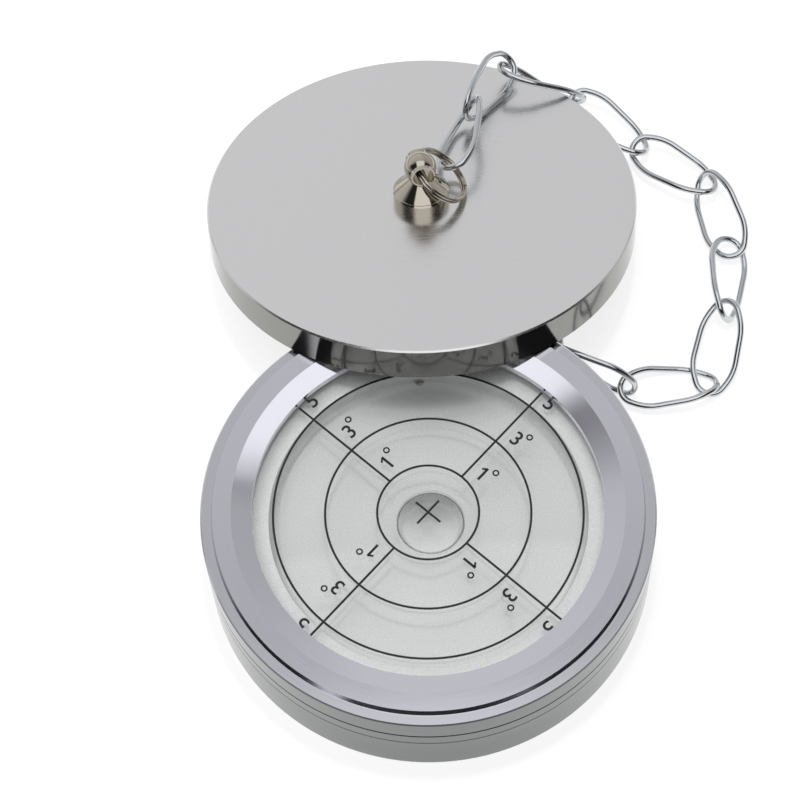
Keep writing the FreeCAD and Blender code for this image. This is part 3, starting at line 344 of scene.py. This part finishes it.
def brushed_metal(name, code, skirt_shade_code, roughness):
    """Aluminium brushed in straight lines along X on top. Its turned skirt gets its own darker
    tone, a painted shade.
    """
    material, tree, output = new_material(name)
    place = add(tree, "ShaderNodeTexCoord")
    long = add(tree, "ShaderNodeMapping", {"Vector": place.outputs["Object"]},
               {"Scale": (LINE_STRETCH, 1.0, 1.0)})
    lines = add(tree, "ShaderNodeTexNoise", {"Vector": long.outputs[0]},
                {"Scale": 1 / (LINE_SPACING * MM), "Detail": 4.0, "Roughness": 0.65})
    normal = add(tree, "ShaderNodeNewGeometry")
    up = add(tree, "ShaderNodeVectorMath", {0: normal.outputs["Normal"]}, {1: CAP_UP},
             operation="DOT_PRODUCT")
    wall = add(tree, "ShaderNodeMapRange", {"Value": up.outputs["Value"]}, UPRIGHT)
    # The skirt takes the second colour, a darker painted shade.
    tone = add(tree, "ShaderNodeMix", {0: wall.outputs["Result"]},
               {6: linear(code), 7: linear(skirt_shade_code)}, data_type="RGBA")
    streak = add(tree, "ShaderNodeMapRange", {"Value": lines.outputs[0]},
                 {**NOISE, "To Min": 0.985, "To Max": 1.01})
    colour = add(tree, "ShaderNodeMix", {6: tone.outputs[2], 7: streak.outputs["Result"]}, {0: 1.0},
                 data_type="RGBA", blend_type="MULTIPLY")
    satin = add(tree, "ShaderNodeMix", {0: wall.outputs["Result"]},
                {2: roughness, 3: roughness * 0.4})
    uneven = add(tree, "ShaderNodeMapRange", {"Value": lines.outputs[0]},
                 {**NOISE, "To Min": 0.85, "To Max": 1.2})
    rough = add(tree, "ShaderNodeMath", {0: satin.outputs[0], 1: uneven.outputs[0]},
                operation="MULTIPLY")
    relief = add(tree, "ShaderNodeBump", {"Height": lines.outputs[0]},
                 {"Strength": 0.08, "Distance": 0.004 * MM})
    metal = add(tree, "ShaderNodeBsdfPrincipled",
                {"Base Color": colour.outputs[2], "Roughness": rough.outputs[0],
                 "Normal": relief.outputs[0]}, {"Metallic": 1.0})
    tree.links.new(metal.outputs[0], output.inputs["Surface"])
    return material


# Satin aluminium, brushed: a wide soft sheen that runs across the lines. The skirt's darker grey is
# painted shade.
cap_metal = brushed_metal("anodised_aluminium_brushed", "#E4E4E3", "#8E8E8A", 0.24)
print("brush lines are", LINE_SPACING, "mm apart")

# %% [markdown]
# ## Small metals
# The chain and the split ring are bright plated wire, the stud is turned and nickel plated, and
# the screws are dark steel. All of them are smooth, with faint drawing marks along the wire.

# %% Plated metals
def plated_metal(name, code, roughness, grain):
    """Bright plated metal with a slight unevenness, from its colour and its grain in mm."""
    material, tree, output = new_material(name)
    place = add(tree, "ShaderNodeTexCoord")
    marks = add(tree, "ShaderNodeTexNoise", {"Vector": place.outputs["Object"]},
                {"Scale": 1 / (grain * MM), "Detail": 3.0})
    rough = add(tree, "ShaderNodeMapRange", {"Value": marks.outputs[0]},
                {**NOISE, "To Min": roughness * 0.7, "To Max": roughness * 1.4})
    relief = add(tree, "ShaderNodeBump", {"Height": marks.outputs[0]},
                 {"Strength": 0.15, "Distance": 0.01 * MM})
    metal = add(tree, "ShaderNodeBsdfPrincipled",
                {"Roughness": rough.outputs["Result"], "Normal": relief.outputs[0]},
                {"Base Color": linear(code), "Metallic": 1.0})
    tree.links.new(metal.outputs[0], output.inputs["Surface"])
    return material


# Zinc-plated steel wire: bright, bluish, with faint drawing marks.
chain_metal = plated_metal("zinc_plated_wire", "#CDD0D2", 0.11, 0.8)
# Nickel-plated brass, polished: warmer than the chain and a clearer mirror.
nickel = plated_metal("nickel_plated_brass", "#BDB6A8", 0.08, 1.2)
# Blackened steel screws: dark and satin.
screw_metal = plated_metal("blackened_steel", "#5A5C60", 0.30, 0.5)
# Tinned brass, satin.
brass = plated_metal("tinned_brass", "#B9B6AC", 0.30, 0.6)
print("plated metals:", ", ".join(item.name for item in (chain_metal, nickel, screw_metal, brass)))

# %% [markdown]
# ## The vial
# The vial is lined with frosted silver, filled with clear spirit and closed by a glass lens. A
# frosted surface scatters light from very small pits, which are drawn here as fine noise. Where
# the lens and the vial's flange touch, both faces lie in one plane. There both get the same
# ground look, and light passes them, or each would leave the other in shadow.

# %% Frosted silver
GRAIN = 0.40
SEAT_HEIGHT = 19.5
SEAT_TOLERANCE = 0.004
SEAT_RADIUS = 35.29
# The seat is painted lighter than the vial's floor: painted light where the bezel shades the
# flange.
SEAT_PAINTED_LIGHT_TONE = "#E8E9E8"


def silver(tree, code):
    """The frosted look itself: a half metallic surface with fine pits, from its colour."""
    place = add(tree, "ShaderNodeTexCoord")
    pits = add(tree, "ShaderNodeTexNoise", {"Vector": place.outputs["Object"]},
               {"Scale": 1 / (GRAIN * MM), "Detail": 4.0, "Roughness": 0.7})
    speckle = add(tree, "ShaderNodeMapRange", {"Value": pits.outputs[0]},
                  {**NOISE, "To Min": 0.86, "To Max": 1.08})
    colour = add(tree, "ShaderNodeMix", {7: speckle.outputs["Result"]}, {0: 1.0, 6: linear(code)},
                 data_type="RGBA", blend_type="MULTIPLY")
    relief = add(tree, "ShaderNodeBump", {"Height": pits.outputs[0]},
                 {"Strength": 0.35, "Distance": 0.03 * MM})
    return add(tree, "ShaderNodeBsdfPrincipled",
               {"Base Color": colour.outputs[2], "Normal": relief.outputs[0]},
               {"Metallic": 0.45, "Roughness": 0.52})


def seated(tree):
    """One where the lens and the vial's flange touch, zero elsewhere."""
    place = add(tree, "ShaderNodeTexCoord")
    parts, radius = from_axis(tree, place.outputs["Object"])
    level = add(tree, "ShaderNodeMath", {0: parts.outputs["Z"]},
                {1: SEAT_HEIGHT * MM, 2: SEAT_TOLERANCE * MM}, operation="COMPARE")
    wide = add(tree, "ShaderNodeMath", {0: radius}, {1: SEAT_RADIUS * MM},
               operation="GREATER_THAN")
    return add(tree, "ShaderNodeMath", {0: level.outputs[0], 1: wide.outputs[0]},
               operation="MULTIPLY").outputs[0]


def ground_seat(tree, surface, code):
    """The surface, but matt silver to the eye and open to light where lens and flange touch."""
    rays = add(tree, "ShaderNodeLightPath")
    looked_at = add(tree, "ShaderNodeMath",
                    {0: rays.outputs["Is Camera Ray"], 1: rays.outputs["Is Transmission Ray"]},
                    operation="MAXIMUM")
    through = add(tree, "ShaderNodeBsdfTransparent")
    matt = silver(tree, code)
    face = add(tree, "ShaderNodeMixShader", {0: looked_at.outputs[0], 1: through.outputs[0],
                                             2: matt.outputs[0]})
    return add(tree, "ShaderNodeMixShader", {0: seated(tree), 1: surface, 2: face.outputs[0]})


# Silver, bead blasted: pale, matt and finely pitted.
frosted, tree, output = new_material("bead_blasted_silver")
vial_face = ground_seat(tree, silver(tree, "#DCDDDC").outputs[0], SEAT_PAINTED_LIGHT_TONE)
tree.links.new(vial_face.outputs[0], output.inputs["Surface"])
print("frosting grain in mm:", GRAIN)

# %% [markdown]
# Light has to reach the vial's floor through glass and spirit. A renderer traces that poorly, so
# shadow and diffuse rays pass both straight, and only what is looked at is bent. The spirit
# wets the vial's wall, so it bends light only where it meets the lens and the bubble.

# %% Glass and spirit
GLASS_BENDS = 1.5
SPIRIT_BENDS = 1.36
WETTED_BELOW = 17.0
WETTED_BEYOND = 35.1


def clear(name, ior):
    """A clear solid: its material, tree, body, the wire that says "pass straight", last mix."""
    material, tree, output = new_material(name)
    body = add(tree, "ShaderNodeBsdfPrincipled",
               sockets={"Base Color": linear("#FFFFFF"), "Transmission Weight": 1.0, "IOR": ior,
                        "Roughness": 0.0})
    through = add(tree, "ShaderNodeBsdfTransparent", sockets={"Color": linear("#FFFFFF")})
    rays = add(tree, "ShaderNodeLightPath")
    straight = add(tree, "ShaderNodeMath",
                   {0: rays.outputs["Is Shadow Ray"], 1: rays.outputs["Is Diffuse Ray"]},
                   operation="MAXIMUM")
    both = add(tree, "ShaderNodeMixShader", {0: straight.outputs[0], 1: body.outputs[0],
                                             2: through.outputs[0]})
    tree.links.new(both.outputs[0], output.inputs["Surface"])
    return material, tree, body.outputs[0], straight.outputs[0], both


# Clear glass, polished, and ground matt where it sits on the vial.
glass, tree, body, straight, both = clear("ground_glass_lens", GLASS_BENDS)
rim = ground_seat(tree, body, SEAT_PAINTED_LIGHT_TONE)
tree.links.new(rim.outputs[0], both.inputs[1])

# Clear spirit: it bends light less than glass does.
spirit, tree, body, straight, both = clear("clear_spirit", SPIRIT_BENDS)
place = add(tree, "ShaderNodeTexCoord")
parts, radius = from_axis(tree, place.outputs["Object"])
low = add(tree, "ShaderNodeMath", {0: parts.outputs["Z"]}, {1: WETTED_BELOW * MM},
          operation="LESS_THAN")
outer = add(tree, "ShaderNodeMath", {0: radius}, {1: WETTED_BEYOND * MM},
            operation="GREATER_THAN")
wetted = add(tree, "ShaderNodeMath", {0: low.outputs[0], 1: outer.outputs[0]},
             operation="MAXIMUM")
either = add(tree, "ShaderNodeMath", {0: straight, 1: wetted.outputs[0]}, operation="MAXIMUM")
tree.links.new(either.outputs[0], both.inputs[0])
print("clear materials:", glass.name, "and", spirit.name)

# %% [markdown]
# ## The bubble
# At its rim a bubble turns the light away, so its edge looks dark, and its far side is shaded by
# the curve of the lens above it. The air is clear, with that dark rim and that shade painted over
# it.

# %% Air in the bubble
BUBBLE_PLACE = Vector((0.4, -1.75, 0.0)) * MM
BUBBLE_WAIST = 19.67
# Each shade: where it starts and is full, in mm, and how bright it is at both.
RIM_SHADE = (6.95, 7.25, 1.0, 0.40)
INNER_SHADE = (5.9, 6.4, 1.0, 0.84)
FAR_SHADE = (0.5, 6.0, 1.04, 0.55)


def shaded(tree, wire, start, full, first, last):
    """Brightness that changes from first to last between two places in mm."""
    return add(tree, "ShaderNodeMapRange", {"Value": wire},
               {"From Min": start * MM, "From Max": full * MM, "To Min": first,
                "To Max": last}).outputs["Result"]


# Clear air with painted shade: a dark rim, a dark inner edge and a darker far side. It only dims
# what is seen through it.
air, tree, output = new_material("air_with_painted_shade")
place = add(tree, "ShaderNodeTexCoord")
own = add(tree, "ShaderNodeMapping", {"Vector": place.outputs["Object"]},
          {"Location": BUBBLE_PLACE}, vector_type="TEXTURE")
parts, radius = from_axis(tree, own.outputs[0])
upper = add(tree, "ShaderNodeMath", {0: parts.outputs["Z"]}, {1: BUBBLE_WAIST * MM},
            operation="GREATER_THAN")
edge = shaded(tree, radius, *RIM_SHADE)
inner = shaded(tree, radius, *INNER_SHADE)
far = shaded(tree, parts.outputs["Y"], *FAR_SHADE)
below = add(tree, "ShaderNodeMath", {0: inner, 1: far}, operation="MULTIPLY")
# Painted shade: the dark rim on the upper face, the inner edge and the darker far side on the lower
# face.
painted_shade = add(tree, "ShaderNodeMix", {0: upper.outputs[0], 2: below.outputs[0], 3: edge})
colour = add(tree, "ShaderNodeCombineColor", {0: painted_shade.outputs[0], 1: painted_shade.outputs[0],
                                              2: painted_shade.outputs[0]})
clean = add(tree, "ShaderNodeBsdfTransparent", {"Color": colour.outputs[0]})
tree.links.new(clean.outputs[0], output.inputs["Surface"])
print("the bubble's rim is dark over", round(RIM_SHADE[1] - RIM_SHADE[0], 2), "mm")

# %% [markdown]
# ## Print and seals
# The print is baked ink, black and not quite matt. The seals are grey rubber, and show only in
# the gap under the bezel.

# %% Ink and rubber
DUST = 0.3
SKIN = 0.5

# Baked ink: black, half matt.
ink, tree, output = new_material("baked_black_ink")
place = add(tree, "ShaderNodeTexCoord")
dust = add(tree, "ShaderNodeTexNoise", {"Vector": place.outputs["Object"]},
           {"Scale": 1 / (DUST * MM)})
rough = add(tree, "ShaderNodeMapRange", {"Value": dust.outputs[0]},
            {"To Min": 0.45, "To Max": 0.6})
film = add(tree, "ShaderNodeBsdfPrincipled", {"Roughness": rough.outputs["Result"]},
           {"Base Color": linear("#17181B")})
tree.links.new(film.outputs[0], output.inputs["Surface"])

# Grey moulded rubber: matt, with a fine skin.
rubber, tree, output = new_material("moulded_rubber")
place = add(tree, "ShaderNodeTexCoord")
skin = add(tree, "ShaderNodeTexNoise", {"Vector": place.outputs["Object"]},
           {"Scale": 1 / (SKIN * MM)})
relief = add(tree, "ShaderNodeBump", {"Height": skin.outputs[0]},
             {"Strength": 0.3, "Distance": 0.02 * MM})
gum = add(tree, "ShaderNodeBsdfPrincipled", {"Normal": relief.outputs[0]},
          {"Base Color": linear("#7C7E7C"), "Roughness": 0.6})
tree.links.new(gum.outputs[0], output.inputs["Surface"])
print("print and seals:", ink.name, "and", rubber.name)

# %% [markdown]
# ## Finishes
# Each CAD piece gets one material. The chain's links all share one.

# %% Give each CAD piece its finish
FINISHES = {
    "lower_housing": housing_metal, "upper_housing": housing_metal, "bezel_ring": bezel_metal,
    "dial_glass": glass, "glass_gasket": rubber, "vial_bowl": frosted, "bowl_seal": rubber,
    "spirit_fill": spirit, "bubble": air, "dial_print": ink, "fill_plug": brass,
    "fill_plug_seal": rubber, "base_screws": screw_metal, "cap": cap_metal, "cap_stud": nickel,
    "stud_screw": screw_metal, "stud_washer": nickel, "split_ring": nickel,
    "chain_anchor": chain_metal,
}
for name, item in nodes.items():
    finish = chain_metal if name.startswith("chain_link") else FINISHES[name]
    item.data.materials.clear()
    item.data.materials.append(finish)
print("finishes given:", len(nodes))

# %% [markdown]
# ## Degrees on the dial
# Beside each line of the dial stand three numbers, just outside the ring that each belongs to,
# with their tops outward. Text is drawn as a curve with a little thickness and made a mesh.

# %% Print the numbers
GLASS_TOP = 23.6 * MM
INK = 0.05 * MM
FONT_SIZE = 4.9 * MM
BOLD = 0.05 * MM
RINGS = {"1": 11.2, "3": 22.65, "5": 34.1}
BESIDE = 1.9
ABOVE = 1.9
BEZEL_LIP = 38.7
CHORDS = 72
DEGREE_PLACE = (3.2, 3.75)
DEGREE_OUTER = 0.78
DEGREE_INNER = 0.42
DEGREE_SIDES = 32
FLAG_LENGTH = 1.15
FLAG_WIDTH = 0.45
FLAG_SLANT = 35


def degree_sign(across, up):
    """The small ring that stands for degrees, as a flat washer of ink."""
    ring = bmesh.new()
    for radius in (DEGREE_OUTER, DEGREE_INNER):
        bmesh.ops.create_circle(ring, segments=DEGREE_SIDES, radius=radius * MM)
    bmesh.ops.bridge_loops(ring, edges=ring.edges[:])
    top = bmesh.ops.extrude_face_region(ring, geom=ring.faces[:])["geom"]
    risen = [item for item in top if isinstance(item, bmesh.types.BMVert)]
    bmesh.ops.translate(ring, verts=risen, vec=(0, 0, INK))
    bmesh.ops.translate(ring, verts=ring.verts[:], vec=(across * MM, up * MM, -INK / 2))
    bmesh.ops.recalc_face_normals(ring, faces=ring.faces[:])
    made = bpy.data.meshes.new("degree_sign")
    ring.to_mesh(made)
    ring.free()
    return made


def flag_of_one(stroke):
    """The short slanting stroke at the top of a printed one, which the plain font leaves out."""
    top = Vector((min(point.co.x for point in stroke.vertices) + FLAG_WIDTH / 2 * MM,
                  max(point.co.y for point in stroke.vertices) - FLAG_WIDTH / 2 * MM, 0))
    bar = bmesh.new()
    bmesh.ops.create_cube(bar, size=1.0)
    bmesh.ops.scale(bar, verts=bar.verts[:], vec=(FLAG_LENGTH * MM, FLAG_WIDTH * MM, INK))
    bmesh.ops.translate(bar, verts=bar.verts[:], vec=(-FLAG_LENGTH / 2 * MM, 0, 0))
    bmesh.ops.rotate(bar, verts=bar.verts[:],
                     matrix=Matrix.Rotation(math.radians(FLAG_SLANT), 3, "Z"))
    bmesh.ops.translate(bar, verts=bar.verts[:], vec=top)
    made = bpy.data.meshes.new("flag")
    bar.to_mesh(made)
    bar.free()
    return made


def digit(words):
    """A printed digit with its own thickness."""
    curve = bpy.data.curves.new("digit", "FONT")
    curve.body = words
    curve.size = FONT_SIZE
    curve.offset = BOLD
    curve.extrude = INK / 2
    curve.resolution_u = 6
    text = bpy.data.objects.new("digit", curve)
    made = bpy.data.meshes.new_from_object(text)
    bpy.data.objects.remove(text)
    return made


numbers = bmesh.new()
for quarter in range(4):
    face = math.radians(45 + 90 * quarter)
    for words, radius in RINGS.items():
        marks = [digit(words), degree_sign(*DEGREE_PLACE)]
        if words == "1":
            marks.append(flag_of_one(marks[0]))
        for drawn in marks:
            drawn.transform(Matrix.Translation((BESIDE * MM, (radius + ABOVE) * MM,
                                                GLASS_TOP + INK / 2)))
            drawn.transform(Matrix.Rotation(face - math.pi / 2, 4, "Z"))
            numbers.from_mesh(drawn)
            bpy.data.meshes.remove(drawn)
bmesh.ops.remove_doubles(numbers, verts=numbers.verts, dist=0.0005 * MM)
digits_mesh = bpy.data.meshes.new("dial_numbers")
# The bezel's lip hides what lies outside it, so the print is cut there, a short chord at a time.
for step in range(CHORDS):
    angle = 2 * math.pi * step / CHORDS
    outward = Vector((math.cos(angle), math.sin(angle), 0))
    whole = numbers.verts[:] + numbers.edges[:] + numbers.faces[:]
    cut = bmesh.ops.bisect_plane(numbers, geom=whole, dist=0.0001 * MM,
                                 plane_co=outward * BEZEL_LIP * MM, plane_no=outward,
                                 clear_outer=True)
    edges = [item for item in cut["geom_cut"] if isinstance(item, bmesh.types.BMEdge)]
    if edges:
        bmesh.ops.edgeloop_fill(numbers, edges=edges)
numbers.to_mesh(digits_mesh)
numbers.free()
digits_mesh.materials.append(ink)
dial_numbers = bpy.data.objects.new("dial_numbers", digits_mesh)
bpy.context.scene.collection.objects.link(dial_numbers)
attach(dial_numbers, "root")
print("faces in the numbers:", len(digits_mesh.polygons))

# %% [markdown]
# ## Finish
# Light passes many clear layers on its way into the vial and out, so the renderer is allowed
# more of them than usual.

# %% Finish
CLEAR_LAYERS = 32

scene = bpy.context.scene
scene.view_settings.view_transform = "Standard"
scene.cycles.transparent_max_bounces = CLEAR_LAYERS
